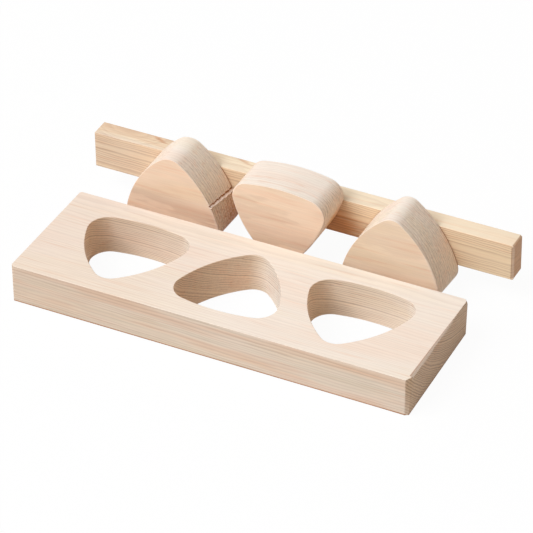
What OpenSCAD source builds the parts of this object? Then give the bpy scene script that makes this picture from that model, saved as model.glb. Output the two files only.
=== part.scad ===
// Three-cup rice press of plain wood: a board with three rounded-triangle cups cut
// right through it, and a presser with three matching blocks on a crossbar.
// The presser lies behind the board on its side, its pressing faces towards the front.
// Units are millimetres. X runs along the length, -Y is the front, Z is up. The origin
// is the middle of the whole set's footprint, on the surface it lies on.

/* [Board] */
// Length of the board along X
board_length = 300; // [270:1:360]
// Depth of the board from front to back
board_depth = 100; // [90:1:130]
// Thickness of the board, which is also the height of the pressed rice
board_height = 30; // [20:1:40]
// Width of the broken edges around the board
board_edge = 0.5; // [0.3:0.1:2]
// Width of the hand-planed bevel on the right end's top edge, at the front
planed_edge = 1.5; // [1:0.5:5]
// Width of the hand-planed bevel on the left front upright edge, at the top
planed_upright = 1.8; // [0.5:0.1:4]
// Size of the knocked-off lower corner at the front on the right
knocked_front = 2; // [0.5:0.1:4]
// Size of the knocked-off upper corner at the back on the right
knocked_back_right = 2.2; // [0.5:0.1:4]
// Size of the knocked-off upper corner at the back on the left
knocked_back_left = 1.4; // [0.5:0.1:4]

/* [Cups] */
// Width of a cup across its base
cup_width = 77; // [60:0.5:80]
// Height of a cup from its base to its apex
cup_height = 69; // [55:0.5:75]
// Radius of the two corners at the base
cup_base_corner = 14.5; // [8:0.5:20]
// Radius of the corner at the apex
cup_apex_corner = 12.5; // [8:0.5:20]
// Radius of the two bowed sides
cup_side_bow = 86; // [70:1:160]
// Radius of the bowed base
cup_base_bow = 132; // [90:1:300]
// Distance between the middles of neighbouring cups
cup_pitch = 86.5; // [70:0.5:100]

/* [Presser] */
// Gap between a block and the wall of its cup, all round
press_clearance = 1.5; // [0.8:0.1:2.5]
// How far the blocks come out under the board when the bar lands on it
press_through = 2; // [0:0.5:6]
// Length of the crossbar
bar_length = 328; // [290:1:380]
// Thickness of the crossbar, measured in the pressing direction
bar_thickness = 15; // [10:0.5:22]
// Width of the crossbar
bar_width = 29; // [20:0.5:40]
// Width of the broken edges along the crossbar
bar_edge = 0.8; // [0.3:0.1:2]
// Width of the bevel around each end of the crossbar
bar_end_bevel = 1.8; // [0.5:0.1:4]

/* [Dowels] */
// Diameter of the dowels that hold the blocks to the crossbar
dowel_diameter = 8; // [5:0.5:12]
// Distance between the two dowels of a block
dowel_spacing = 30; // [20:1:44]
// How far a dowel reaches into its block
dowel_reach = 20; // [10:1:26]
// Gap between a dowel and its bore, at the radius
dowel_clearance = 0.05; // [0.02:0.01:0.15]

/* [Resting place] */
// Gap between the back of the board and the pressing faces
rest_gap = 16; // [8:1:60]

/* [Hidden] */
$fn = 96;
// How far cutting shapes run past the faces that they cut
past = 1;
// How far a bowed side stays inside its corners, so that one arc takes over from the next
arc_step = 0.005;

block_depth = board_height + press_through;
block_height = cup_height - 2*press_clearance;
set_depth = board_depth + rest_gap + block_depth + bar_thickness;
board_front = -set_depth/2;
board_back = board_front + board_depth;
board_middle = board_front + board_depth/2;
face_y = board_back + rest_gap;
bar_front = face_y + block_depth;
bar_back = bar_front + bar_thickness;
bar_z = block_height/2;
board_wood = [0.88, 0.76, 0.60];
block_wood = [0.86, 0.72, 0.55];
bar_wood = [0.87, 0.77, 0.58];
dowel_wood = [0.72, 0.55, 0.38];

// A bar along X, centred on the origin, with its long edges and its end edges bevelled
module bevelled_bar(length, depth, height, long_edge, end_edge) {
    intersection() {
        rotate([90, 0, 90])
            linear_extrude(length + 2*past, center = true) bevelled_rectangle(depth, height, long_edge);
        linear_extrude(height + 2*past, center = true) bevelled_rectangle(length, depth, end_edge);
        rotate([90, 0, 0])
            linear_extrude(depth + 2*past, center = true) bevelled_rectangle(length, height, end_edge);
    }
}

module bevelled_rectangle(width, height, edge) {
    x = width/2;
    y = height/2;
    polygon([[-x + edge, -y], [x - edge, -y], [x, -y + edge], [x, y - edge],
             [x - edge, y], [-x + edge, y], [-x, y - edge], [-x, -y + edge]]);
}

// Outline of a cup, apex towards +Y, drawn about the middle of its height. Three round
// corners carry three bowed sides that run smoothly into them; inset moves it all inwards.
module cup_outline(inset = 0) {
    base_r = cup_base_corner - inset;
    apex_r = cup_apex_corner - inset;
    side_r = cup_side_bow - inset;
    bow_r = cup_base_bow - inset;
    corner_x = cup_width/2 - cup_base_corner;
    bow = [0, -cup_height/2 + cup_base_bow];
    corner = [corner_x, bow.y - sqrt(pow(bow_r - base_r, 2) - pow(corner_x, 2))];
    apex = [0, cup_height/2 - cup_apex_corner];
    side = meeting_point(corner, side_r - base_r, apex, side_r - apex_r);
    translate(corner) circle(base_r);
    translate(flip(corner)) circle(base_r);
    translate(apex) circle(apex_r);
    bowed_side(bow, bow_r, flip(corner), base_r, corner, base_r);
    bowed_side(side, side_r, corner, base_r, apex, apex_r);
    bowed_side(flip(side), side_r, apex, apex_r, flip(corner), base_r);
}

// The part of a disc that lies between two round corners, with their middles at a and b
module bowed_side(centre, radius, a, corner_a, b, corner_b) {
    intersection() {
        translate(centre) circle(radius - arc_step);
        polygon([[0, 0], a, a + 2*corner_a*unit(a - centre), b + 2*corner_b*unit(b - centre), b]);
    }
}

// The point at distance ra from a and rb from b, on the left when looking from a to b
function meeting_point(a, ra, b, rb) =
    let (gap = norm(b - a), along = (ra*ra - rb*rb + gap*gap)/(2*gap), e = (b - a)/gap)
    a + along*e + sqrt(ra*ra - along*along)*[-e.y, e.x];
function unit(v) = v/norm(v);
function flip(p) = [-p.x, p.y];

module mold_board() {
    color(board_wood) difference() {
        translate([0, board_middle, board_height/2])
            bevelled_bar(board_length, board_depth, board_height, board_edge, board_edge);
        cup(-1);
        cup(0);
        cup(1);
        planed_end();
        planed_corner();
        knocked_corner([board_length/2, board_front, 0], 45, -1, knocked_front);
        knocked_corner([board_length/2, board_back, board_height], 135, 1, knocked_back_right);
        knocked_corner([-board_length/2, board_back, board_height], 225, 1, knocked_back_left);
    }
}

// One cup, cut right through; the outer two point to the front, the middle one to the back
module cup(place) {
    translate([place*cup_pitch, board_middle, -past]) rotate([0, 0, place == 0 ? 0 : 180])
        linear_extrude(board_height + 2*past) cup_outline();
}

// Bevel along the right end's top edge, full width at the front and nothing at the back
module planed_end() {
    lean = atan(planed_edge/board_depth/sqrt(2));
    reach = 3*planed_edge;
    translate([board_length/2 - planed_edge, board_front, board_height]) rotate([lean, 45, 0])
        translate([-reach, -reach, 0]) cube([2*reach, board_depth + 2*reach, reach]);
}

// Bevel down the left front upright edge, full width at the top and nothing at the bottom
module planed_corner() {
    lean = atan(planed_upright/board_height/sqrt(2));
    reach = 3*planed_upright;
    translate([-board_length/2, board_front, 0]) rotate([-lean, 0, -45])
        translate([-reach, -reach, -reach]) cube([2*reach, reach, board_height + 2*reach]);
}

// A small flat across the corner at place, facing outwards along turn and up (1) or down (-1)
module knocked_corner(place, turn, up, size) {
    reach = 3*size;
    translate(place) rotate([-up*asin(1/sqrt(3)), 0, turn])
        translate([-reach, size/sqrt(3) - reach, -reach]) cube([2*reach, reach, 2*reach]);
}

// A pressing block lying on its side: its outline stands upright, up is 1 with the apex at
// the top and -1 with the apex at the bottom
module block(place, up) {
    color(block_wood) difference() {
        translate([place*cup_pitch, bar_front, bar_z]) rotate([90, up == 1 ? 0 : 180, 0])
            linear_extrude(block_depth) cup_outline(press_clearance);
        dowel_hole(place, -1);
        dowel_hole(place, 1);
    }
}

module presser_block_left() {
    block(-1, 1);
}

module presser_block_middle() {
    block(0, -1);
}

module presser_block_right() {
    block(1, 1);
}

module presser_bar() {
    color(bar_wood) difference() {
        translate([0, bar_front + bar_thickness/2, bar_z])
            bevelled_bar(bar_length, bar_thickness, bar_width, bar_edge, bar_end_bevel);
        for (place = [-1, 0, 1]) {
            dowel_hole(place, -1);
            dowel_hole(place, 1);
        }
    }
}

// Bore for a dowel, from behind the crossbar to its floor inside the block
module dowel_hole(place, side) {
    dowel_at(place, side, past, dowel_diameter/2 + dowel_clearance);
}

module dowel(place, side) {
    color(dowel_wood) dowel_at(place, side, 0, dowel_diameter/2);
}

module dowel_at(place, side, extra, radius) {
    translate([place*cup_pitch + side*dowel_spacing/2, bar_back + extra, bar_z]) rotate([90, 0, 0])
        cylinder(bar_thickness + dowel_reach + extra, r = radius);
}

mold_board();
presser_bar();
presser_block_left();
presser_block_middle();
presser_block_right();
dowel(-1, -1);  // dowel_left_outer
dowel(-1, 1);  // dowel_left_inner
dowel(0, -1);  // dowel_middle_left
dowel(0, 1);  // dowel_middle_right
dowel(1, -1);  // dowel_right_inner
dowel(1, 1);  // dowel_right_outer
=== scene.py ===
"""Looks of the three-cup rice press: solid pieces of planed cypress on a pale studio floor."""
import math
from collections import namedtuple

import bpy
import numpy as np
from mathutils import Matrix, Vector
from mathutils.geometry import delaunay_2d_cdt


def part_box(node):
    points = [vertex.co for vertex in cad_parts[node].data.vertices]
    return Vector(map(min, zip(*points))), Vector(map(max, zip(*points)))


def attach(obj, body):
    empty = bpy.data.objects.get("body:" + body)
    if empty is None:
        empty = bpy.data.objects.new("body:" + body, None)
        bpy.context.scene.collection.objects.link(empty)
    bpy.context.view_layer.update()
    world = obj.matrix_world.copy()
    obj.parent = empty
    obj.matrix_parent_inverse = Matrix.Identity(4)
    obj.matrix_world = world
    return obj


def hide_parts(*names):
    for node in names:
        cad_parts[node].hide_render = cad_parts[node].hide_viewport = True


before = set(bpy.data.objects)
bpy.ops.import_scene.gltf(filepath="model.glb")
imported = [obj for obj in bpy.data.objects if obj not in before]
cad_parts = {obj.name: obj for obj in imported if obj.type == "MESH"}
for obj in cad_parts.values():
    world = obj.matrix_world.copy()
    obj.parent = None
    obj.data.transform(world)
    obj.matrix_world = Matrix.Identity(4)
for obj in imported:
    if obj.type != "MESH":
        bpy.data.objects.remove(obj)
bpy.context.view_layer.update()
MM = 1000.0  # shapes are worked out in millimetres, as the frame's metres times this

# ------------ sizes from the frame


def box(node):
    """Lowest and highest corner of a CAD node."""
    low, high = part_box(node)
    return np.array(low) * MM, np.array(high) * MM


BOARD_LOW, BOARD_HIGH = box("mold_board")
BAR_LOW, BAR_HIGH = box("presser_bar")
BLOCKS = {"left": 1, "middle": -1, "right": 1}  # 1 has its apex up, -1 down
BLOCK_BOX = {side: box("presser_block_" + side) for side in BLOCKS}
DOWELS = [n for n in sorted(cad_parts) if n.startswith("dowel")]

CLEARANCE = 1.5  # between a block and its cup
BASE_CORNER = 14.5  # radius of the two corners at a cup's base
APEX_CORNER = 12.5  # radius of the corner at its apex
SIDE_BOW = 86.0  # radius of its two bowed sides
BASE_BOW = 132.0  # radius of its bowed base

left_low, left_high = BLOCK_BOX["left"]
CUP_WIDTH = left_high[0] - left_low[0] + 2 * CLEARANCE
CUP_HEIGHT = left_high[2] - left_low[2] + 2 * CLEARANCE
BOARD_MIDDLE = (BOARD_LOW[1] + BOARD_HIGH[1]) / 2
BOARD_DEPTH = BOARD_HIGH[1] - BOARD_LOW[1]
BAR_MIDDLE = (BAR_LOW + BAR_HIGH) / 2
BLOCK_FACE = left_low[1]  # where the pressing faces are along Y

# ------------ hand-made edges

BOARD_EDGE = 0.2  # width of the broken edges around the board's top and down its back uprights
BOTTOM_EDGE = 0.45  # width of the broken edges around its bottom
CUP_RIMS = (0.4, 0.45)  # width of a cup's rounded rims, at the bottom and at the top
PLANED_END = (0.1, 2.1)  # width of the right end's top bevel, at the back and at the front
PLANED_CORNER = (0.3, 2.3)  # width of the left front upright's bevel, at the bottom and at the top
PLANED_UPRIGHT = 2.6  # width of the right front upright's bevel along the front
UPRIGHT_DEPTH = (1.6, 5.2)  # width of the same bevel along the end, at the bottom and at the top
UPRIGHT_FULL = 3.0  # how far short of the end that bevel has its full depth
# How far the hand-sawn ends stand out, at the bottom and at the top of the back and of the front
SAWN_RIGHT = ((0.1, 1.0), (1.9, 2.4))
SAWN_LEFT = ((0.0, 0.0), (0.0, 1.2))
SAWN_FULL = 1.0  # how far short of the end it stands out in full
END_FADE = 22.0  # how far from an end its hand-made shape fades out
KNOCKED = {(1, -1, -1): 2.0, (1, 1, 1): 2.2, (-1, 1, 1): 1.4}  # size of a flat at a corner of the board
PAINTED_BEVEL = (0.4, 0.9)  # a bevel narrower than the first gets no painted highlight or shade line, one wider than the second gets them in full
BEVEL_HIGHLIGHT = 1.5  # painted highlight on such a wide one
BEVEL_LINE = 0.2  # share of its width that the painted shade line along its upper side takes
BEVEL_SHADE = 0.55  # how dark that painted shade is
BOTTOM_SHADOW = 0.9  # how dark the painted shadow along the outer edge of the bottom is
BOTTOM_LINE = 1.0  # how far up that goes
SLACK = 0.1  # what still counts as part of a rim beyond its width
BOARD_PLANED = (0.8, 0.97, 0.8, 0.8)  # how flat the uprights' bevels are, from 0 for round to 1

BAR_EDGE = 0.3  # width of the broken edges along the crossbar and at its left end
BAR_END = 1.8  # width of the bevel down its right front upright
BAR_END_TOP = 1.3  # width of the bevel along the top of its right end
BAR_END_BOTTOM = 0.6  # width of the bevel along the bottom of it
BAR_PLANED = 0.85  # how flat these bevels are
UPRIGHT_HIGHLIGHT, END_HIGHLIGHT = 0.7, 0.8  # painted highlight on the right front upright, and on the end's other edges
UPRIGHT_DARK = 0.5  # how dark the line down that upright is

BACK_RIM = 0.6  # width of a block's rounded rim at the crossbar
FRONT_RIM = (0.3, 1.4)  # width of its rim at the pressing face, where it is fresh and where it is worn
BORE_GAP = 0.05  # between a dowel and its bore
BORE_RIM = 0.15  # width of a bore's rounded rim
DOWEL_RIM = 0.25  # width of a dowel's rounded rims

# How far the sides of each hand-cut block stand out from the drawn outline, low and high:
# the left side, the right side at the front and the right side at the back
HAND_CUT = {"left": ((-2.0, 0.0), (1.0, 1.3), (1.9, 2.4)),
            "middle": ((0.0, 0.0), (-3.0, -2.5), (-3.0, -2.0)),
            "right": ((1.0, 0.0), (-1.9, -0.8), (-0.2, -1.1))}
CUT_FROM, CUT_TO = -20.0, 25.0  # heights about a block's middle that are meant by low and high
CUT_SIDES = (-12.0, 12.0)  # where the left side's shape gives way to the right side's
CUT_SKIN = (20.0, 26.0)  # from the block's middle: what lies nearer stays, what lies further moves
WEAR_SKIN = (21.0, 25.0)  # the same for the marks on its sides
# Where a front edge gets worn, as it goes along X and then Z from a block's middle
WORN_LOW_RIGHT = ((8, 30), (15, 0))
WORN_LEFT = ((-8, -24), (29, 24))
LEFT_WEAR = 0.55  # wear of the middle block's left side, where the lower right is 1
FLATTENED = 0.65  # how much shallower a fully worn front rim is than a round one, as a share
SEAM = (1.6, 0.8)  # the distance from the crossbar of the painted shade in the crevice there, where it begins and where it is full
SEAM_ENDS = (17.0, 13.0)  # the same for its height about the crossbar's middle
SEAM_SHADE = 0.85
CHIP = (31.8, 1.0, 0.06)  # x, z and share of the depth, on the middle block's right side
CHIP_OUT, CHIP_WEAR = 0.8, 2.5  # how far its splinter stands out, and its wear

# ------------ outlines

ARC_STEP = 1.2  # between two points of a cup's outline
BLOCK_STEP = 1.0  # between two points of a block's outline
LAST_STEP = 0.4  # share of a step that has to be left before the next arc for one more point
CORNER_POINTS = 7
CIRCLE_POINTS = 40
FACES_X = 0.9  # least part along X of the outward normal of an end
FINE, COARSE = 0.5, 3.0  # between two points of a straight run, at its ends and in its middle
WIDENING = 0.25  # how much further apart its points are for each millimetre from its end


def along(ends, share):
    """The value that lies a share of the way from the first end to the second."""
    start, end = ends
    return start + (end - start) * share


def blend(low, high, x):
    """Smooth change from 0 to 1 as x goes from low to high."""
    t = np.clip((x - low) / (high - low), 0, 1)
    return t * t * (3 - 2 * t)


def meeting_point(a, ra, b, rb):
    """The point ra from a and rb from b, on the left when looking from a to b."""
    gap = np.linalg.norm(b - a)
    forward = (ra * ra - rb * rb + gap * gap) / (2 * gap)
    e = (b - a) / gap
    return a + forward * e + math.sqrt(ra * ra - forward * forward) * np.array([-e[1], e[0]])


def flip(p):
    return np.array([-p[0], p[1]])


def angle(centre, p):
    return math.atan2(p[1] - centre[1], p[0] - centre[0])


def direction(t):
    return np.array([math.cos(t), math.sin(t)])


def cup_outline(inset, step, fine=None):
    """Rounded triangle of six arcs, apex towards +v: points, outward normals.
    fine is (place, reach, step) for a stretch with closer points."""
    corner_x = CUP_WIDTH / 2 - BASE_CORNER
    bow = np.array([0, -CUP_HEIGHT / 2 + BASE_BOW])
    corner = np.array([corner_x, bow[1] - math.sqrt((BASE_BOW - BASE_CORNER) ** 2 - corner_x**2)])
    apex = np.array([0, CUP_HEIGHT / 2 - APEX_CORNER])
    side = meeting_point(corner, SIDE_BOW - BASE_CORNER, apex, SIDE_BOW - APEX_CORNER)
    arcs = [
        (bow, BASE_BOW, angle(bow, flip(corner)), angle(bow, corner)),
        (corner, BASE_CORNER, angle(bow, corner), angle(side, corner)),
        (side, SIDE_BOW, angle(side, corner), angle(side, apex)),
        (apex, APEX_CORNER, angle(side, apex), angle(flip(side), apex)),
        (flip(side), SIDE_BOW, angle(flip(side), apex), angle(flip(side), flip(corner))),
        (flip(corner), BASE_CORNER, angle(flip(side), flip(corner)), angle(bow, flip(corner))),
    ]
    points, normals = [], []
    for centre, radius, start, end in arcs:
        radius -= inset
        end += 2 * math.pi * (end < start)
        t = start
        while t < end - LAST_STEP * step / radius:
            normals.append(direction(t))
            points.append(centre + radius * normals[-1])
            near = fine and np.linalg.norm(points[-1] - fine[0]) < fine[1]
            t += (fine[2] if near else step) / radius
    return np.array(points), np.array(normals)


def graded(length):
    """Shares of a straight run's length for its points: close together near both ends."""
    x, ticks = 0.0, [0.0]
    while x < length / 2:
        x += min(COARSE, FINE + WIDENING * x)
        ticks.append(min(x, length / 2))
    half = np.array(ticks)
    return np.concatenate([half, length - half[-2::-1]]) / length


def box_outline(low, high, radii, flat):
    """Rectangle with its own corner radius at (-,-), (+,-), (+,+), (-,+): points, outward normals.
    flat turns a round corner into a planed one, from 0 to 1, for each or for all."""
    corners = [(low[0], low[1], 1, 1), (high[0], low[1], -1, 1),
               (high[0], high[1], -1, -1), (low[0], high[1], 1, -1)]
    points, normals = [], []
    for k, (x, y, sx, sy) in enumerate(corners):
        radius, planed = radii[k], np.broadcast_to(flat, 4)[k]
        centre = np.array([x + sx * radius, y + sy * radius])
        turns = np.linspace(0, math.pi / 2, CORNER_POINTS) + math.pi + k * math.pi / 2
        first, last = direction(turns[0]), direction(turns[-1])
        diagonal = (first + last) / np.linalg.norm(first + last)
        for j, t in enumerate(turns):
            arc = direction(t)
            chord = first + (last - first) * j / (CORNER_POINTS - 1)
            normal = arc * (1 - planed) + diagonal * planed
            points.append(centre + radius * (arc * (1 - planed) + chord * planed))
            normals.append(normal / np.linalg.norm(normal))
        start = points[-1]
        axis = k % 2  # the run to the next corner lies along this axis
        end = np.array(corners[(k + 1) % 4][:2])
        end[axis] += corners[(k + 1) % 4][2 + axis] * radii[(k + 1) % 4]
        length = high[axis] - low[axis]
        for share in graded(length)[1:-1]:
            points.append(start + (end - start) * share)
            normals.append(last)
    return np.array(points), np.array(normals)


def circle_outline(centre, radius):
    t = np.linspace(0, 2 * math.pi, CIRCLE_POINTS, endpoint=False)
    normals = np.stack([np.cos(t), np.sin(t)], -1)
    return np.array(centre) + radius * normals, normals


def steady(outline):
    """The same outline at every height of a wall."""
    return lambda height: outline


# ------------ solids

# Rims from the flat end to the wall, as shares of their width: along the end, along the wall
ROUND = [(1.3, 0.0)] + [(1 - math.sin(t), 1 - math.cos(t)) for t in np.linspace(0, math.pi / 2, 5)]
PLANED = [(1.25, 0.0), (1.0, 0.0), (0.85, 0.08), (0.66, 0.26), (0.05, 0.88), (0.0, 1.0)]
ROW_PITCH = 0.866  # between the rows of a cap's points, as a share of their spacing
CLEAR_OF_RING = 0.6  # least distance from a cap's inner points to its rings, as such a share
SAME_POINT = 1e-6
SLIVER = 1e-9  # twice the area of the smallest triangle that is kept


def rim_wear_and_highlight(a, b):
    """Wear and painted highlight of a ring of a rim: full half-way, half at its sides and none on the flat
    beside it.
    """
    return (1.0 - abs(2 * b - 1) * 0.5) * (a <= 1)


def inside(points, ring):
    """Which points lie inside a closed ring."""
    x, y = points[:, :1], points[:, 1:]
    a, b = ring, np.roll(ring, -1, 0)
    crosses = (a[:, 1] > y) != (b[:, 1] > y)
    with np.errstate(divide="ignore", invalid="ignore"):
        at = a[:, 0] + (y - a[:, 1]) * (b[:, 0] - a[:, 0]) / (b[:, 1] - a[:, 1])
    return (crosses & (x < at)).sum(1) % 2 == 1


def between_rings(points, rings):
    """Which points lie inside the first ring and outside the others."""
    keep = inside(points, rings[0])
    for hole in rings[1:]:
        keep &= ~inside(points, hole)
    return keep


class Solid:
    """A closed piece made of walls along an outline and two flat ends, as rings of points."""

    def __init__(self, origin, u, v, w):
        self.origin, self.axes = np.array(origin, float), np.array([u, v, w], float)
        self.points, self.faces, self.worn, self.bored = [], [], [], []

    def ring(self, flat, w, worn=0.0, bored=0.0):
        """Adds points at a height of w and returns their numbers."""
        start = len(self.points)
        heights = np.broadcast_to(w, len(flat))
        self.points += [(p[0], p[1], h) for p, h in zip(flat, heights)]
        self.worn += [worn] * len(flat)
        self.bored += [bored] * len(flat)
        return np.arange(start, start + len(flat))

    def wall(self, outline, height, rims, levels, profile=ROUND, hole=False, blind=None):
        """Rings from the end at w = 0 to the end at w = height: returns both end rings.
        rims are the widths at both ends. A blind hole has no second rim and ends at w = blind."""
        sign = -1 if hole else 1
        count = len(outline(0)[0])
        low, high = (np.broadcast_to(np.asarray(r, float), count) for r in rims)

        def rim(level, upward, width, a, b):
            points, normals = outline(level)
            flat = points - sign * normals * (a * width)[:, None]
            return flat, level + upward * b * width, rim_wear_and_highlight(a, b), float(hole and b > 0)

        rows = [rim(0, 1, low, a, b) for a, b in profile]
        rows += [(outline(w)[0], w, 0.0, float(hole)) for w in levels]
        if blind is None:
            rows += [rim(height, -1, high, a, b) for a, b in reversed(profile)]
        else:
            rows.append((outline(blind)[0], blind, 0.0, float(hole)))
        rings = [self.ring(*row) for row in rows]
        for r, s in zip(rings, rings[1:]):
            for i in range(count):
                j = (i + 1) % count
                quad = (r[i], r[j], s[j], s[i])
                self.faces.append(quad[::-1] if hole else quad)
        return rings[0], rings[-1]

    def cap(self, outer, holes, spacing, up):
        """Triangles over the area inside one ring and outside the others."""
        rings = [outer, *holes]
        shapes = [np.array([self.points[i][:2] for i in r]) for r in rings]
        rim = np.concatenate(shapes)
        edges, start = [], 0
        for r in rings:
            edges += [(start + i, start + (i + 1) % len(r)) for i in range(len(r))]
            start += len(r)
        low, high = rim.min(0), rim.max(0)
        rows = np.arange(low[1] + spacing / 2, high[1], spacing * ROW_PITCH)
        grid = np.array([(x + spacing / 2 * (k % 2), y) for k, y in enumerate(rows)
                         for x in np.arange(low[0] + spacing / 2, high[0], spacing)]).reshape(-1, 2)
        grid = grid[between_rings(grid, shapes)]
        nearest = np.array([np.min(np.sum((rim - p) ** 2, 1)) for p in grid]).reshape(-1)
        grid = grid[nearest > (spacing * CLEAR_OF_RING) ** 2]
        new = self.ring(grid, self.points[outer[0]][2])
        ids = np.concatenate([*rings, new]).astype(int)
        flat = [Vector(p) for p in np.concatenate([rim, grid])]
        corners, _, faces, origin, *_ = delaunay_2d_cdt(flat, edges, [], 0, SAME_POINT)
        back = [ids[o[0]] for o in origin]
        triangles = np.array([f for f in faces if len(f) == 3])
        places = np.array([list(c) for c in corners])
        keep = between_rings(places[triangles].mean(1), shapes)
        for f in triangles[keep]:
            a, b, c = places[f]
            area = (b[0] - a[0]) * (c[1] - a[1]) - (c[0] - a[0]) * (b[1] - a[1])
            if abs(area) > SLIVER:
                face = [back[i] for i in f]
                self.faces.append(tuple(face if (area > 0) == up else face[::-1]))

    def make(self, name, body, replaces, material, reshape=None):
        """Makes the piece. reshape moves the points and gives their wear and painted highlight, shown pale,
        and their tears and painted shade, shown dark.
        """
        points, worn = self.origin + np.array(self.points) @ self.axes, np.array(self.worn)
        # The dark value holds the tear's colour and painted shade and shadow along edges and at the crossbar
        torn = np.zeros(len(points))
        if reshape:
            points, worn, torn = reshape(points, worn)
        mesh = bpy.data.meshes.new(name)
        mesh.from_pydata((points / MM).tolist(), [], [tuple(int(i) for i in f) for f in self.faces])
        mesh.validate()
        for label, values in (("worn", worn), ("torn", torn), ("bored", self.bored)):
            data = mesh.attributes.new(label, "FLOAT", "POINT").data
            data.foreach_set("value", np.asarray(values, np.float32))
        mesh.shade_smooth()
        mesh.materials.append(material)
        piece = bpy.data.objects.new(name, mesh)
        bpy.context.scene.collection.objects.link(piece)
        piece.modifiers.new("even_normals", "WEIGHTED_NORMAL")
        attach(piece, body)
        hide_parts(*replaces)


# ------------ wood


def rgb(r, g, b):
    """A colour written as it looks on screen, from 0 to 255."""
    c = np.array([r, g, b]) / 255
    return (*np.where(c <= 0.04045, c / 12.92, ((c + 0.055) / 1.055) ** 2.4), 1.0)


WHITE = (1.0, 1.0, 1.0, 1.0)
# The pale colour is that of wear and of painted highlights on rims, bevels and the tear's lips; the dark one
# is that of the tear and of painted shade and shadow along edges and at the crossbar
WEAR_AND_HIGHLIGHT_WOOD, TORN_AND_SHADE_WOOD = rgb(255, 235, 219), rgb(172, 110, 58)
TAN, DARK_STREAK, GOLD, RED = rgb(200, 140, 90), rgb(205, 135, 75), rgb(255, 214, 150), rgb(228, 176, 134)
BROWN, GREY = rgb(205, 150, 115), rgb(243, 245, 255)

# Layers of noise that are drawn out along the grain: features per millimetre along and across it,
# a shift that sets each layer apart, and the noise's detail and roughness
GRAIN = {
    "slow": (0.006, 0.022, 11.0, 2.0, 0.5),
    "wobble": (0.035, 0.16, 5.0, 2.0, 0.5),
    "patches": (0.006, 0.045, 31.0, 3.0, 0.5),
    "broad": (0.009, 0.1, 61.0, 2.0, 0.5),
    "veins": (0.014, 0.33, 41.0, 3.0, 0.6),
    "lines": (0.03, 0.8, 17.0, 3.0, 0.6),
    "fibres": (0.05, 2.4, 23.0, 3.0, 0.65),
}
# Tones that layers give the wood: the values at which each begins and is full, and its colour
WARM_PATCH = (0.45, 0.75, rgb(255, 226, 208))
PALE_PATCH = (0.55, 0.30, rgb(255, 251, 236))
VEIN = (0.52, 0.75, rgb(238, 206, 184))
PINK_BAND = (0.46, 0.66, rgb(246, 216, 198))
GREEN_BAND = (0.52, 0.36, rgb(234, 236, 230))
VEIN_DEPTH = 4.0  # how strong the veins are, where the streaks are 1
FINE_GRAIN = {"lines": 1.6, "fibres": 1.2, "veins": 1.2}  # how much each layer varies the lightness there

# A normal's part along X or Y at which a face begins to count as an end or a front, and fully does
END_FACING, FRONT_FACING = (0.25, 0.95), (0.5, 1.0)
LATE_BEGINS, LATE_FULL, LATE_ENDS = 0.25, 0.84, 0.86  # places in a ring, from 0 to 1
SLOW_BEND, WOBBLE_BEND = 8.0, 2.4  # how far two layers push the rings aside
SIDE_PATCHY, END_PATCHY = 1.6, 0.5  # how much the veins vary the rings' darkness
RING_NOISE = 0.11  # changes of the rings' width per millimetre of radius
RING_UNEVEN = 2.2  # how far that pushes a ring aside, in rings
SAW_CUTS = (0.3, 1.5, 0.3)  # a saw's marks on the ends per millimetre, along each axis
PORES = 2.2  # pores per millimetre
PORE_DEPTH = 0.3  # how much they vary the lightness
MARK_FULL = 0.2  # share of its reach within which a mark shows in full
MARK_RAGGED = 1.2  # how far the fine lines draw its edge out
PALE_COVERS = 0.45  # how much of the pale colour of wear and painted highlight shows at a value of 1

ROUGHNESS, FIBRE_ROUGH, LATE_ROUGH = 0.52, 0.16, -0.08  # of early wood, and what the others add
FIBRE_RELIEF, LATE_RELIEF, PORE_RELIEF = 0.5, 0.35, 0.6  # shares of the relief's depth
RELIEF_DEPTH, RELIEF_STRENGTH = 0.00006, 0.7  # the depth in metres
SPECULAR = 0.25

# A streak, a stain, or a patch of painted light or shade: its middle and reach in millimetres, how much of
# its colour shows, and its turn about Z in degrees
Mark = namedtuple("Mark", "middle reach depth colour turn", defaults=[0])


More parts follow.
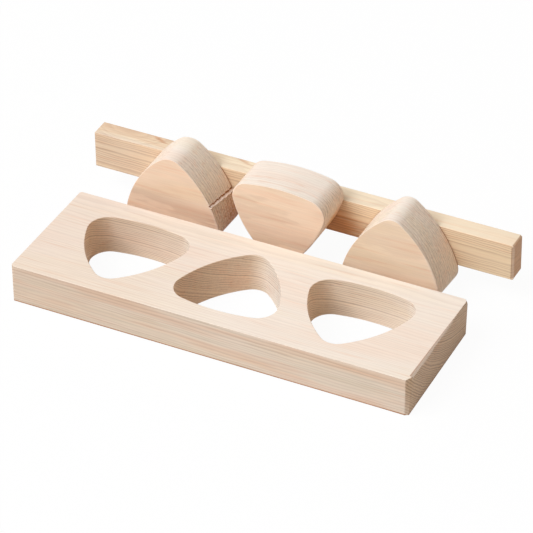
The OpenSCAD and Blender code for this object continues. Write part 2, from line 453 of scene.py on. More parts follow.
class Nodes:
    """Short ways to fill the node tree of a material or world."""

    def __init__(self, owner):
        owner.use_nodes = True
        self.tree = owner.node_tree
        self.tree.nodes.clear()

    def add(self, kind, inputs=None, **settings):
        """A new node with its settings made and its inputs linked or set."""
        node = self.tree.nodes.new(kind)
        for key, value in settings.items():
            setattr(node, key, value)
        for key, value in (inputs or {}).items():
            if isinstance(value, bpy.types.NodeSocket):
                self.tree.links.new(value, node.inputs[key])
            else:
                node.inputs[key].default_value = value
        return node

    def calc(self, operation, *values, clamp=False):
        """One Math node on sockets and numbers."""
        inputs = dict(enumerate(values))
        return self.add("ShaderNodeMath", inputs, operation=operation, use_clamp=clamp).outputs[0]

    def plus(self, a, b):
        return self.calc("ADD", a, b)

    def minus(self, a, b):
        return self.calc("SUBTRACT", a, b)

    def times(self, a, b):
        return self.calc("MULTIPLY", a, b)

    def line(self, value, slope, level):
        """slope times value plus level."""
        return self.calc("MULTIPLY_ADD", value, slope, level)

    def steps(self, value, low, high, to_low=0.0, to_high=1.0):
        """Smooth change from to_low to to_high as value goes from low to high."""
        inputs = {0: value, 1: low, 2: high, 3: to_low, 4: to_high}
        return self.add("ShaderNodeMapRange", inputs, interpolation_type="SMOOTHSTEP").outputs[0]

    def mixed(self, factor, a, b, mode="MIX"):
        inputs = {0: factor, 6: a, 7: b}
        return self.add("ShaderNodeMix", inputs, data_type="RGBA", blend_type=mode).outputs[2]

    def tinted(self, factor, colour, tint):
        """colour times tint, as far as factor says."""
        return self.mixed(factor, colour, tint, "MULTIPLY")

    def noise(self, vector, scale, detail, roughness):
        inputs = {"Vector": vector, "Scale": scale, "Detail": detail, "Roughness": roughness}
        return self.add("ShaderNodeTexNoise", inputs).outputs[0]

    def shown(self):
        """1 for what the camera sees directly or in gloss and glass, 0 for light that bounces."""
        path = self.add("ShaderNodeLightPath").outputs
        seen = self.calc("MAXIMUM", path["Is Camera Ray"], path["Is Glossy Ray"])
        return self.calc("MAXIMUM", seen, path["Is Transmission Ray"])

    def output(self, kind, shader):
        """The tree's last node, of a material or a world."""
        self.tree.links.new(shader.outputs[0], self.add(kind).inputs[0])


class Wood(Nodes):
    """The node tree of one wooden material, with its grain along X and its sizes in millimetres."""

    def __init__(self, name, seed):
        self.material = bpy.data.materials.new(name)
        super().__init__(self.material)
        self.seed = seed
        where = self.add("ShaderNodeTexCoord").outputs
        self.at = self.add("ShaderNodeVectorMath", {0: where["Object"], 3: MM}, operation="SCALE").outputs[0]
        self.layer = {label: self.grain(*values) for label, values in GRAIN.items()}
        self.pores = self.noise(self.at, PORES, detail=3.0, roughness=0.7)
        cuts = self.mapped(Scale=SAW_CUTS, Location=(seed, 5, 0))
        self.cuts = self.noise(cuts, 1.0, detail=3.0, roughness=0.65)
        self.normal = self.add("ShaderNodeSeparateXYZ", {0: where["Normal"]}).outputs
        self.ends = self.steps(self.calc("ABSOLUTE", self.normal[0]), *END_FACING)
        self.fronts = self.steps(self.calc("ABSOLUTE", self.normal[1]), *FRONT_FACING)
        self.worn, self.torn, self.bored = (
            self.add("ShaderNodeAttribute", attribute_name=label).outputs["Fac"]
            for label in ("worn", "torn", "bored"))

    def mapped(self, kind="POINT", **inputs):
        """A point's place in millimetres, moved, turned and scaled."""
        return self.add("ShaderNodeMapping", {"Vector": self.at, **inputs}, vector_type=kind).outputs[0]

    def grain(self, lengthways, across, shift, detail, roughness):
        """One layer of noise that is drawn out along the grain. The seed and shift set it apart."""
        offset = (self.seed * 7.3 + shift, self.seed * 3.1 - shift, self.seed + 2 * shift)
        place = self.mapped(Scale=(lengthways, across, across), Location=offset)
        return self.noise(place, 1.0, detail, roughness)

    def around_half(self, value, strength):
        """1 plus strength times how far value lies from a half."""
        return self.line(self.minus(value, 0.5), strength, 1.0)

    def away_from(self, middle, reach, turn=0):
        """Distance from middle, where reach is 1 along each axis."""
        offset = self.mapped("TEXTURE", Location=middle, Rotation=(0, 0, math.radians(turn)), Scale=reach)
        return self.add("ShaderNodeVectorMath", {0: offset}, operation="LENGTH").outputs["Value"]

    def late_wood(self, pith, drift, spacing, bend, even, knots):
        """1 in the dark late wood of each ring, 0 in the pale early wood. Rings are cut as real ones
        are: they show as lines along the faces and as arcs on the ends."""
        x, y, z = self.add("ShaderNodeSeparateXYZ", {0: self.at}).outputs
        dy = self.minus(self.line(x, drift[0], y), pith[0])
        dz = self.minus(self.line(x, drift[1], z), pith[1])
        radius = self.calc("SQRT", self.plus(self.times(dy, dy), self.times(dz, dz)))
        radius = self.line(self.layer["slow"], SLOW_BEND * bend, radius)
        radius = self.line(self.layer["wobble"], WOBBLE_BEND * bend, radius)
        for middle, reach, rise in knots:
            radius = self.plus(self.steps(self.away_from(middle, reach), 1.0, 0.0, 0.0, rise), radius)
        uneven = self.add("ShaderNodeTexNoise", {"W": radius, "Scale": RING_NOISE, "Detail": 1.0},
                          noise_dimensions="1D").outputs[0]
        turns = self.calc("DIVIDE", self.line(uneven, RING_UNEVEN * spacing, radius), spacing)
        phase = self.calc("FRACT", turns)
        late = self.steps(phase, LATE_BEGINS, LATE_FULL)
        late = self.times(late, self.steps(phase, LATE_ENDS, 1.0, 1.0, 0.0))
        own = self.add("ShaderNodeTexWhiteNoise", {"W": self.calc("FLOOR", turns)}, noise_dimensions="1D")
        return self.times(late, self.line(own.outputs[0], 1.0 - even, even))

    def ring_strength(self, rings):
        """How dark the rings are, by which way the surface faces."""
        on_top, on_front, on_end, on_bore = rings
        strength = self.line(self.fronts, on_front - on_top, on_top)
        strength = self.line(self.ends, on_end - on_top, strength)
        strength = self.add("ShaderNodeMix", {0: self.bored, 2: strength, 3: on_bore}).outputs[0]
        varied = self.line(self.ends, END_PATCHY - SIDE_PATCHY, SIDE_PATCHY)
        patchy = self.times(self.minus(self.layer["veins"], 0.5), varied)
        return self.times(strength, self.plus(patchy, 1.0))

    def toned(self, colour, layer, tone, strength, where=1.0):
        """colour with one of a layer's tones, as strong as strength where where is 1."""
        begins, full, tint = tone
        factor = self.steps(self.layer[layer], begins, full, 0.0, strength)
        return self.tinted(self.times(factor, where), colour, tint)

    def patched(self, colour, blotch, streaks, bands):
        """Broad warm and pale patches, veins, and colour bands on the front and back."""
        colour = self.toned(colour, "patches", WARM_PATCH, blotch)
        colour = self.toned(colour, "patches", PALE_PATCH, blotch)
        colour = self.toned(colour, "veins", VEIN, VEIN_DEPTH * streaks)
        outside = self.times(self.fronts, self.minus(1.0, self.bored))
        colour = self.toned(colour, "broad", PINK_BAND, bands, outside)
        return self.toned(colour, "broad", GREEN_BAND, bands, outside)

    def shade(self, streaks, sawn):
        """How light the fine grain is, and the pores and saw cuts of the ends."""
        shade = 1.0
        for label, depth in FINE_GRAIN.items():
            shade = self.times(shade, self.around_half(self.layer[label], depth * streaks))
        for layer, strength in ((self.pores, PORE_DEPTH), (self.cuts, sawn)):
            coarse = self.times(self.minus(layer, 0.5), self.ends)
            shade = self.times(shade, self.line(coarse, strength, 1.0))
        return self.add("ShaderNodeCombineColor", {0: shade, 1: shade, 2: shade}).outputs[0]

    def tint(self, face, end, bore):
        """The tint of the front and back, the ends, and bored walls that face -X and +X; the two bore tints
        paint light on the walls facing the lamp and shade on those facing away.
        """
        tint = self.mixed(self.ends, self.mixed(self.fronts, WHITE, face), end)
        facing = self.line(self.normal[0], 0.5, 0.5)
        return self.mixed(self.bored, tint, self.mixed(facing, *bore))

    def marked(self, colour, marks):
        """Each streak, stain, or patch of painted light or shade, its edge drawn out by the fine lines."""
        for mark in marks:
            away = self.away_from(mark.middle, mark.reach, mark.turn)
            away = self.line(self.minus(self.layer["lines"], 0.5), MARK_RAGGED, away)
            colour = self.tinted(self.steps(away, 1.0, MARK_FULL, 0.0, mark.depth), colour, mark.colour)
        return colour

    def surface(self, colour, late):
        """The shader: fibres and late wood stand a little proud, and pores show on the ends."""
        fibres = self.layer["fibres"]
        rough = self.line(late, LATE_ROUGH, self.line(fibres, FIBRE_ROUGH, ROUGHNESS))
        relief = self.plus(self.times(fibres, FIBRE_RELIEF), self.times(late, LATE_RELIEF))
        relief = self.line(self.times(self.pores, self.ends), PORE_RELIEF, relief)
        bump = self.add("ShaderNodeBump", {"Height": relief, "Distance": RELIEF_DEPTH,
                                           "Strength": RELIEF_STRENGTH})
        inputs = {"Base Color": colour, "Roughness": rough, "Normal": bump.outputs[0],
                  "Specular IOR Level": SPECULAR}
        shader = self.add("ShaderNodeBsdfPrincipled", inputs)
        self.output("ShaderNodeOutputMaterial", shader)


def wood(name, seed, pith, spacing, light, dark, rings, drift=(0.0, 0.0), bend=1.0, even=0.5, knots=(),
         face=WHITE, end=WHITE, bore=(WHITE, WHITE), streaks=0.10, blotch=0.4, bands=0.0, sawn=0.15,
         marks=()):
    """A wooden material. pith is the (y, z) of the tree's middle, drift how far it wanders per
    millimetre of length, spacing the rings' width, and light and dark their colours. rings is how dark
    they are on the top, front, ends and bored walls. bend and even say how much they wander and how
    alike they are. knots push them aside: (middle, reach, rise). face and end are tints, and bore is
    two, for bored walls that face -X and +X; where they differ, they are painted light on the walls that
    face the lamp and painted shade on those that face away. streaks, blotch and bands are strengths of
    fine, broad and coloured grain, and sawn is how rough the ends look."""
    made = Wood(name, seed)
    late = made.late_wood(pith, drift, spacing, bend, even, knots)
    colour = made.mixed(made.times(late, made.ring_strength(rings)), light, dark)
    colour = made.patched(colour, blotch, streaks, bands)
    colour = made.tinted(1.0, colour, made.shade(streaks, sawn))
    colour = made.tinted(1.0, colour, made.tint(face, end, bore))
    colour = made.marked(colour, marks)
    # Pale where worn and where a highlight is painted, dark where torn and where shade is painted
    colour = made.mixed(made.calc("MULTIPLY", made.worn, PALE_COVERS, clamp=True), colour, WEAR_AND_HIGHLIGHT_WOOD)
    colour = made.mixed(made.torn, colour, TORN_AND_SHADE_WOOD)
    made.surface(colour, late)
    return made.material


def board_wood():
    """Greyish on the front and back, a little browner towards the left end, and with painted light and shade
    on the cups' walls that face -X and +X.
    """
    return wood("cypress_board", seed=1.0, pith=(BOARD_MIDDLE + 64, BOARD_HIGH[2] + 87), drift=(0.01, 0.0),
                spacing=1.6, light=rgb(253, 240, 226), dark=rgb(140, 98, 72), rings=(0.1, 0.24, 0.65, 0.45),
                face=rgb(236, 232, 227), end=rgb(229, 211, 191),
                # The bore tints are painted light: paler and cooler on the walls that face -X, towards the
                # lamp, and warmer on the shaded walls that face +X
                bore=(rgb(246, 251, 253), rgb(251, 235, 216)), bend=0.5, bands=0.42, streaks=0.08, blotch=0.3,
                marks=[Mark((BOARD_LOW[0], BOARD_MIDDLE, BOARD_HIGH[2]), (200, 200, 100), 0.12, TAN)])


# What sets each block apart: its place in the grain, its face's tint and how strong the painted warm shade
# along its bottom is
BLOCK_LOOKS = {"left": (3.0, rgb(255, 240, 225), 0.3), "middle": (4.0, rgb(255, 240, 225), 0.3),
               "right": (15.0, rgb(255, 244, 229), 0.15)}


def block_wood(side):
    """Browner along the bottom as painted warm shade, with painted shade low on the left block's right flank
    and painted golden light on the middle block's right flank.
    """
    seed, face, warm_shade = BLOCK_LOOKS[side]
    low, high = BLOCK_BOX[side]
    middle = (low + high) / 2
    # Painted warm shade along the bottom, next to the board
    marks = [Mark((middle[0], BLOCK_FACE, low[2]), (60, 30, 16), warm_shade, TAN)]
    if side == "left":
        # Painted shade low on the right flank, below the tear
        marks.append(Mark((high[0] - 4.5, high[1] - 6, low[2] + 8), (20, 34, 30), 1.0, BROWN))
    if side == "middle":
        # Painted golden light on the right flank
        marks.append(Mark((high[0] - 5, high[1] - 12, low[2] + 30), (14, 18, 18), 0.9, GOLD))
    return wood("cypress_block_" + side, seed=seed, pith=(BLOCK_FACE - 190, BAR_MIDDLE[2] + 14),
                drift=(0.0, 0.01), spacing=2.2, light=rgb(253, 241, 228), dark=rgb(156, 114, 86),
                rings=(0.14, 0.2, 0.32, 0.3), face=face, end=rgb(253, 246, 238), sawn=1.0, marks=marks)


def bar_wood():
    """Yellower, with a knot near the left end, two darker streaks on the top, a tanner top towards the left,
    a bluish grey stretch on the front's left part and a painted reddish shadow of the middle block on the
    front.
    """
    top_back_left = (BAR_LOW[0], BAR_HIGH[1], BAR_HIGH[2])
    # Two darker streaks on the top
    marks = [Mark((BAR_LOW[0] + 47.5, BAR_HIGH[1] - 3.5, BAR_HIGH[2]), (9, 2.2, 6), 0.5, DARK_STREAK, turn=-21),
             Mark((BAR_LOW[0] + 114, BAR_HIGH[1] - 2, BAR_HIGH[2]), (9, 2.2, 6), 0.4, DARK_STREAK, turn=-18),
             Mark(top_back_left, (140, 19, 20), 0.35, TAN),
             Mark((BAR_LOW[0] + 30, BAR_LOW[1], BAR_MIDDLE[2]), (90, 6, 30), 0.8, GREY),
             # Painted shadow of the middle block on the front, in a reddish tone
             Mark((BAR_MIDDLE[0] + 28, BAR_LOW[1], BAR_LOW[2] + 4), (32, 10, 28), 0.8, RED)]
    return wood("cypress_bar", seed=8.0, pith=(BAR_MIDDLE[1] - 10, BAR_MIDDLE[2] - 120), drift=(0.0, 0.012),
                spacing=2.4, light=rgb(255, 238, 211), dark=rgb(160, 112, 76), rings=(0.14, 0.34, 0.3, 0.4),
                blotch=0.3, face=rgb(248, 239, 229), end=rgb(221, 190, 171), streaks=0.08, even=0.8,
                knots=[((BAR_LOW[0] + 22, BAR_HIGH[1], BAR_HIGH[2]), (34, 18, 18), 9.0)], marks=marks)


def dowel_wood():
    """Darker than the other pieces."""
    return wood("birch_dowel", seed=9.0, pith=(BAR_LOW[1], BAR_LOW[2]), spacing=1.4,
                light=rgb(206, 176, 142), dark=rgb(150, 108, 70), rings=(0.5, 0.5, 0.8, 0.5))


# ------------ mold board


def board_outline(w):
    """Seen from above, at a height of w."""
    corner = along(PLANED_CORNER, np.clip(w / BOARD_HIGH[2], 0, 1))
    return box_outline(BOARD_LOW[:2], BOARD_HIGH[:2], (corner, PLANED_UPRIGHT, BOARD_EDGE, BOARD_EDGE),
                       flat=BOARD_PLANED)


def sawn_out(amounts, forward, up):
    """How far a point of a sawn end stands out; forward is 1 at the front and up 1 at the top."""
    back, front = amounts
    return along((along(back, up), along(front, up)), forward)


def towards_end(x, end, full):
    """Smooth change from 0 to 1 towards an end of the board, and 1 from full short of it."""
    outward = math.copysign(1, end)
    return blend(end - outward * END_FADE, end - outward * full, x)


def reshape_board(points, worn):
    """The bevels and saw cuts that differ along the edges. Wide bevels get a painted highlight, with a
    painted shade line along their upper side, and the outer edge of the bottom gets a painted shadow."""
    x, y, z = points.T
    below, inward, behind = BOARD_HIGH[2] - z, BOARD_HIGH[0] - x, y - BOARD_LOW[1]
    forward, up = (BOARD_HIGH[1] - y) / BOARD_DEPTH, z / BOARD_HIGH[2]
    wide = along(PLANED_END, forward)
    bevel = (below <= wide) & (inward < wide + SLACK) & (behind > PLANED_UPRIGHT)
    strong = blend(*PAINTED_BEVEL, wide)
    # Painted highlight on a wide bevel, and painted shade along its upper side
    worn = np.where(bevel, BEVEL_HIGHLIGHT * strong, 0.0)
    torn = np.where(bevel & (below < BEVEL_LINE * wide), BEVEL_SHADE * strong, 0.0)
    # Painted shadow along the outer edge of the bottom, where it meets the floor
    outer = np.minimum(np.minimum(inward, x - BOARD_LOW[0]), behind) < BOTTOM_EDGE + SLACK
    torn = np.maximum(torn, BOTTOM_SHADOW * (outer & (z < BOARD_LOW[2] + BOTTOM_LINE)))

    deeper = along(UPRIGHT_DEPTH, up) - PLANED_UPRIGHT
    around = np.interp(behind, (0, PLANED_UPRIGHT, 3 * PLANED_UPRIGHT), (0, 1, 0))
    points[:, 1] += towards_end(x, BOARD_HIGH[0], UPRIGHT_FULL) * deeper * around
    for signs, size in KNOCKED.items():
        corner = np.where(np.array(signs) > 0, BOARD_HIGH, BOARD_LOW)
        inwards = -np.array(signs) / math.sqrt(3)
        short = size / math.sqrt(3) - (points - corner) @ inwards
        points = points + np.maximum(short, 0)[:, None] * inwards
    points[:, 0] += towards_end(x, BOARD_HIGH[0], SAWN_FULL) * sawn_out(SAWN_RIGHT, forward, up)
    points[:, 0] -= towards_end(x, BOARD_LOW[0], SAWN_FULL) * sawn_out(SAWN_LEFT, forward, up)
    return points, worn, torn


def make_board():
    board = Solid((0, 0, BOARD_LOW[2]), (1, 0, 0), (0, 1, 0), (0, 0, 1))
    height = BOARD_HIGH[2] - BOARD_LOW[2]
    around, normals = board_outline(height)
    forward = np.clip((BOARD_HIGH[1] - around[:, 1]) / BOARD_DEPTH, 0, 1)
    planed = (normals[:, 0] > FACES_X) & (around[:, 1] > BOARD_LOW[1] + PLANED_UPRIGHT)
    top_rim = np.where(planed, np.maximum(BOARD_EDGE, along(PLANED_END, forward)), BOARD_EDGE)
    # Close together near the bottom, so that the painted shadow along its edge stays narrow
    levels = np.concatenate([np.arange(0.6, 3, 0.35), np.arange(4, height - 2, 2.5)])
    low, high = board.wall(board_outline, height, (BOTTOM_EDGE, top_rim), levels, PLANED)
    ends = []
    for side, up in BLOCKS.items():
        points, normals = cup_outline(0, ARC_STEP)
        centre = np.array([(BLOCK_BOX[side][0][0] + BLOCK_BOX[side][1][0]) / 2, BOARD_MIDDLE])
        outline = (points * -up + centre, normals * -up)
        ends.append(board.wall(steady(outline), height, CUP_RIMS, np.arange(2, height - 1, 2), hole=True))
    board.cap(high, [e[1] for e in ends], spacing=5.0, up=True)
    board.cap(low, [e[0] for e in ends], spacing=8.0, up=False)
    board.make("mold_board_wood", "board", ["mold_board"], board_wood(), reshape_board)


# ------------ presser


def dowel_places(low, high):
    """(x, z) of the dowels whose middles lie between low and high in X, and their radius."""
    found = []
    for node in DOWELS:
        a, b = box(node)
        x = (a[0] + b[0]) / 2
        if low < x < high:
            found.append((x, (a[2] + b[2]) / 2, (b[0] - a[0]) / 2))
    return found


def bar_outline(w):
    """Seen from the front, the same at every depth."""
    return box_outline(BAR_LOW[[0, 2]], BAR_HIGH[[0, 2]], (BAR_EDGE, BAR_END_BOTTOM, BAR_END_TOP, BAR_EDGE),
                       flat=BAR_PLANED)


def reshape_bar(points, worn):
    """Only the right end's edges are pale, as painted highlight, and the front upright there has a dark line.
    """
    x, y, z = points.T
    end = x > BAR_HIGH[0] - BAR_END
    upright = end & (worn > 0) & (y < BAR_MIDDLE[1]) & (z < BAR_HIGH[2] - BAR_END_TOP)
    line = upright & (y < BAR_LOW[1] + BEVEL_LINE * BAR_END)
    # Painted highlight along the right end's edges
    worn = np.where(upright, UPRIGHT_HIGHLIGHT, np.where(end, END_HIGHLIGHT * worn, 0.0))
    return points, np.where(line, 0.0, worn), np.where(line, UPRIGHT_DARK, 0.0)


def make_bar():
    depth = BAR_HIGH[1] - BAR_LOW[1]
    bar = Solid((0, BAR_HIGH[1], 0), (1, 0, 0), (0, 0, 1), (0, -1, 0))
    front_rim = np.where(bar_outline(0)[1][:, 0] > FACES_X, BAR_END, BAR_EDGE)
    ends = bar.wall(bar_outline, depth, (BAR_EDGE, front_rim), np.arange(1.0, depth - 2, 2.0), PLANED)
    bores = []
    for x, z, radius in dowel_places(BAR_LOW[0], BAR_HIGH[0]):
        ring = circle_outline((x, z), radius + BORE_GAP)
        bores.append(bar.wall(steady(ring), depth, (BORE_RIM, BORE_RIM), [depth / 2], hole=True))
    bar.cap(ends[1], [b[1] for b in bores], spacing=4.0, up=True)
    bar.cap(ends[0], [b[0] for b in bores], spacing=4.0, up=False)
    bar.make("presser_bar_wood", "presser", ["presser_bar"], bar_wood(), reshape_bar)


def hand_cut(side, x, z, share):
    """How far a point of a block moves along X. x and z are from the block's middle, and share is 0 at
    the front and 1 at the crossbar."""
    up = np.clip((z - CUT_FROM) / (CUT_TO - CUT_FROM), 0, 1)
    out_left, out_front, out_back = (along(ends, up) for ends in HAND_CUT[side])
    right = blend(*CUT_SIDES, x)
    skin = blend(*CUT_SKIN, np.hypot(x, z))
    return skin * (right * along((out_front, out_back), share) - (1 - right) * out_left)


def worn_edge(side, x, z):
    """How worn a block's front edge is: at the lower right, and the middle one's also down the left."""
    right, left = (blend(*in_x, x) * blend(*in_z, z) for in_x, in_z in (WORN_LOW_RIGHT, WORN_LEFT))
    return np.maximum(right, LEFT_WEAR * left) if side == "middle" else right


WAVES = ((1.0, 1.9, 1.0), (0.7, 4.3, 0.0), (0.5, 9.1, 2.0))  # height, turn and shift of each
WAVES_HIGH = 1.8  # the height that they seldom pass


def ragged(y, height, pitch):
    """Uneven line between about -height and height."""
    waves = sum(high * np.sin(turn * y / pitch + shift) for high, turn, shift in WAVES)
    return height * waves / WAVES_HIGH


# The tear runs across the left block's right side. Its height, width and depth are at the front and
# at the crossbar
TEAR_X = 30.4
TEAR_HEIGHT = (1.9, -0.8)
TEAR_WIDTH = (0.8, 1.2)
TEAR_DEPTH = (0.6, 0.9)
# How high and how long the waves are in its line, in its width and in its upper lip
LINE_RAGGED, WIDTH_RAGGED, LIP_RAGGED = (0.4, 2.0), (0.15, 1.5), (1.0, 1.2)
WIDTH_SHIFT = 7.0  # along Y, so that the width doesn't follow the line
LIP_LEVEL = 0.6  # how much of the upper lip is there on the whole
TEAR_OUTWARD = np.array([0.90, 0.0, 0.44])  # straight out of the block there
TEAR_OPENS = 0.6  # it is fully open this far behind the pressing face
LOWER_LIP, UPPER_LIP = 1.2, 0.15  # how far the lips stand out
# Courses across it, from below to above: places in widths of the tear, and how full each is there
GAP_COURSE = ((-1.2, -0.3, 0.4, 0.9), (0, 1, 1, 0))
LOWER_COURSE = ((-2.5, -1.6, -0.55), (0, 1, 0))
UPPER_COURSE = ((0.8, 1.2, 1.9), (0, 1, 0))
# The dark course is the torn fibres' colour kept to the shaded upper part of the gap, as painted shade; the
# pale course is a painted highlight on the lower lip
DARK_COURSE = ((-0.4, -0.1, 0.8, 1.05), (0, 1, 1, 0))
PALE_COURSE = ((-2.0, -1.6, -0.5, -0.3), (0, 1, 1, 0))
PALE_TORN = 0.16  # how much of the torn colour shows in the lips' painted highlight
LIP_HIGHLIGHT = 2.4  # painted highlight on these lips
RIGHT_SIDE = 20.0  # a point further than this to the right of the middle is on that side
NOWHERE = 99.0  # place across the tear of all other points
# Closer points of an outline, in its own plane: their middle, their reach and their step. The
# middle block is drawn upside down. The right one has the same closer points, without a chip.
AROUND_TEAR = ((TEAR_X, TEAR_HEIGHT[0]), 4.5, 0.1)
AROUND_CHIP = ((-TEAR_X, -TEAR_HEIGHT[0]), 3.0, 0.4)


def tear(x, y, z, share, skin, inward):
    """How far the tear moves each point out of the block, how much of the painted highlight on its lower lip
    and of both lips is there, and how dark it makes the point, as the torn fibres' colour and painted shade
    in the gap."""
    line = along(TEAR_HEIGHT, share) + ragged(y, *LINE_RAGGED)
    width = along(TEAR_WIDTH, share) + ragged(y + WIDTH_SHIFT, *WIDTH_RAGGED)
    off = np.where((x > RIGHT_SIDE) & (skin > 0), (z - line) / TEAR_OUTWARD[0] / width, NOWHERE)
    opened = blend(0.0, TEAR_OPENS, inward)
    gap, lower, upper, dark, pale = (
        np.interp(off, *course) * opened
        for course in (GAP_COURSE, LOWER_COURSE, UPPER_COURSE, DARK_COURSE, PALE_COURSE))
    upper = upper * np.clip(LIP_LEVEL + ragged(y, *LIP_RAGGED), 0, 1)
    out = LOWER_LIP * lower + UPPER_LIP * upper - along(TEAR_DEPTH, share) * gap
    return out, pale, np.maximum(pale, upper), dark


def chip(x, z, behind):
    """How far a point lies in the chip, from 0 to 1. behind is how far it lies behind its middle."""
    return np.exp(-((x - CHIP[0]) ** 2 + (z - CHIP[1]) ** 2 + behind**2))


def make_block(side, up):
    """A pressing block with two blind bores. up is 1 with its apex up and -1 with it down."""
    low, high = BLOCK_BOX[side]
    depth = high[1] - low[1]
    middle = (low + high) / 2
    torn_side = side == "left"
    block = Solid((middle[0], high[1], middle[2]), (up, 0, 0), (0, 0, up), (0, -1, 0))
    outline = cup_outline(CLEARANCE, BLOCK_STEP, AROUND_TEAR if torn_side else AROUND_CHIP)
    x, z = outline[0].T * up
    front_rim = along(FRONT_RIM, worn_edge(side, x, z))
    levels = np.arange(1.5, depth - 1, 0.5 if torn_side else 1.5)
    ends = block.wall(steady(outline), depth, (BACK_RIM, front_rim), levels)
    reach = high[1] - box(DOWELS[0])[0][1]
    floors = []
    for x, z, radius in dowel_places(low[0], high[0]):
        ring = circle_outline(((x - middle[0]) * up, (z - middle[2]) * up), radius + BORE_GAP)
        floors.append(block.wall(steady(ring), depth, (BORE_RIM, BORE_RIM), [reach / 2], hole=True,
                                 blind=reach))
    block.cap(ends[1], [], spacing=4.0, up=True)
    block.cap(ends[0], [f[0] for f in floors], spacing=4.0, up=False)
    for floor in floors:
        block.cap(floor[1], [], spacing=3.0, up=False)

    def reshape(points, worn):
        """The hand-cut sides, flattened worn edges, painted shade in the crevice at the crossbar, the tear
        with painted shade in its gap and a painted highlight on its lips, and the chip.
        """
        x, y, z = (points - middle).T
        inward = points[:, 1] - low[1]
        share = inward / depth
        skin = blend(*WEAR_SKIN, np.hypot(x, z))
        seam = blend(*SEAM, depth - inward) * skin * blend(*SEAM_ENDS, np.abs(z))
        # Painted shade in the crevice where the block meets the crossbar
        torn = SEAM_SHADE * seam
        worn = worn * (1 - seam)
        flatten = FLATTENED * inward * worn_edge(side, x, z) * (inward < FRONT_RIM[1] + SLACK / 2)
        move = np.stack([hand_cut(side, x, z, share), -flatten, 0 * z], -1)
        if torn_side:
            out, lip, pale, dark = tear(x, y, z, share, skin, inward)
            move = move + out[:, None] * TEAR_OUTWARD
            # The tear's dark gap is partly painted shade, and its pale lips are painted highlight
            torn = np.maximum(torn * (1 - lip), np.maximum(dark, PALE_TORN * pale))
            worn = np.maximum(worn * (1 - dark), LIP_HIGHLIGHT * pale)
        if side == "middle":
            chipped = chip(x, z, inward - CHIP[2] * depth)
            move[:, 0] += CHIP_OUT * chipped
            worn = np.maximum(worn, CHIP_WEAR * chipped)
        return points + move, worn, torn

    node = "presser_block_" + side
    block.make(node + "_wood", "presser", [node], block_wood(side), reshape)


def make_dowel(node, material):
    low, high = box(node)
    middle = (low + high) / 2
    depth = high[1] - low[1]
    dowel = Solid((middle[0], high[1], middle[2]), (1, 0, 0), (0, 0, 1), (0, -1, 0))
    ring = circle_outline((0, 0), (high[0] - low[0]) / 2)
    ends = dowel.wall(steady(ring), depth, (DOWEL_RIM, DOWEL_RIM), np.arange(3, depth - 2, 4.0))
    dowel.cap(ends[1], [], spacing=2.0, up=True)
    dowel.cap(ends[0], [], spacing=2.0, up=False)
    dowel.make(node + "_wood", "presser", [node], material)


def make_presser():
    make_bar()
    for side, up in BLOCKS.items():
        make_block(side, up)
    material = dowel_wood()
    for node in DOWELS:
        make_dowel(node, material)


# ------------ studio, in metres

FLOOR_REACH = 6.0
FLOOR_LEVEL = -0.0001  # just under the object
FLOOR_BOUNCE = (0.69, 0.66, 0.63, 1.0)  # the floor's colour in the light that it throws back
FLOOR_GLOW = 0.95  # share of plain white in what the camera sees of it; the rest takes shadows
WORLD_LEVEL = 0.36  # strength of the world's light on the object
WORLD_COLOUR = (1.0, 0.91, 0.81, 1.0)
LAMP_PLACE = (-2.94, -3.5, 5.3)
LAMP_TARGET = (0, 0, 0.02)
LAMP_SIZE = 5.5
LAMP_WATTS = 458
LAMP_COLOUR = (0.97, 1.005, 1.06)
CAMERA_PLACE = (0.918441, -1.819260, 1.507744)
CAMERA_TURN = (53.91804, 0.55962, 26.21086)  # in degrees about X, Y and Z
SENSOR = 36.0  # in millimetres
PHOTO_WIDTH = 533  # in pixels
FOCAL_LENGTH = 3626.4  # in pixels of the photograph
CLIP = (0.05, 50)  # the nearest and furthest that the camera sees


def place_object(name, data):
    """A new object in the scene."""
    made = bpy.data.objects.new(name, data)
    bpy.context.scene.collection.objects.link(made)
    return made


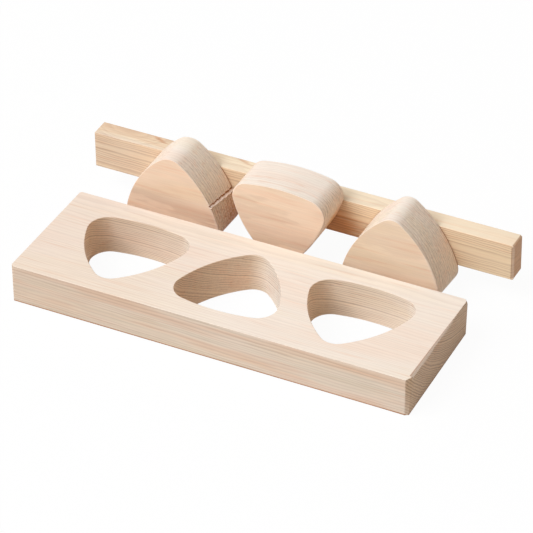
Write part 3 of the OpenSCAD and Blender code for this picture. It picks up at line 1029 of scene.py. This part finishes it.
def make_floor():
    material = bpy.data.materials.new("studio_floor")
    nodes = Nodes(material)
    seen = nodes.shown()
    diffuse = nodes.add("ShaderNodeBsdfDiffuse", {"Color": nodes.mixed(seen, FLOOR_BOUNCE, WHITE)})
    white = nodes.add("ShaderNodeEmission", {"Color": WHITE, "Strength": 1.0})
    inputs = {0: nodes.times(seen, FLOOR_GLOW), 1: diffuse.outputs[0], 2: white.outputs[0]}
    nodes.output("ShaderNodeOutputMaterial", nodes.add("ShaderNodeMixShader", inputs))
    signs = ((-1, -1), (1, -1), (1, 1), (-1, 1))
    corners = [(x * FLOOR_REACH, y * FLOOR_REACH, FLOOR_LEVEL) for x, y in signs]
    mesh = bpy.data.meshes.new("studio_floor")
    mesh.from_pydata(corners, [], [(0, 1, 2, 3)])
    mesh.materials.append(material)
    place_object("studio_floor", mesh)


def make_lamp():
    lamp = bpy.data.lights.new("key", "AREA")
    lamp.shape = "SQUARE"
    lamp.size = LAMP_SIZE
    lamp.energy = LAMP_WATTS
    lamp.color = LAMP_COLOUR
    holder = place_object("key", lamp)
    holder.location = LAMP_PLACE
    aim = Vector(LAMP_TARGET) - Vector(LAMP_PLACE)
    holder.rotation_euler = aim.to_track_quat("-Z", "Y").to_euler()


def make_world():
    """Plain white where the camera sees it, and a dimmer warm light on the object."""
    world = bpy.data.worlds.new("studio")
    bpy.context.scene.world = world
    nodes = Nodes(world)
    seen = nodes.shown()
    inputs = {"Color": nodes.mixed(seen, WORLD_COLOUR, WHITE),
              "Strength": nodes.line(seen, 1.0 - WORLD_LEVEL, WORLD_LEVEL)}
    nodes.output("ShaderNodeOutputWorld", nodes.add("ShaderNodeBackground", inputs))


def make_camera():
    camera = bpy.data.cameras.new("camera")
    camera.sensor_width = SENSOR
    camera.lens = FOCAL_LENGTH * SENSOR / PHOTO_WIDTH
    camera.clip_start, camera.clip_end = CLIP
    holder = place_object("camera", camera)
    holder.location = CAMERA_PLACE
    holder.rotation_euler = [math.radians(a) for a in CAMERA_TURN]
    bpy.context.scene.camera = holder


make_board()
make_presser()
make_floor()
make_world()
make_lamp()
make_camera()
bpy.context.scene.view_settings.view_transform = "Standard"
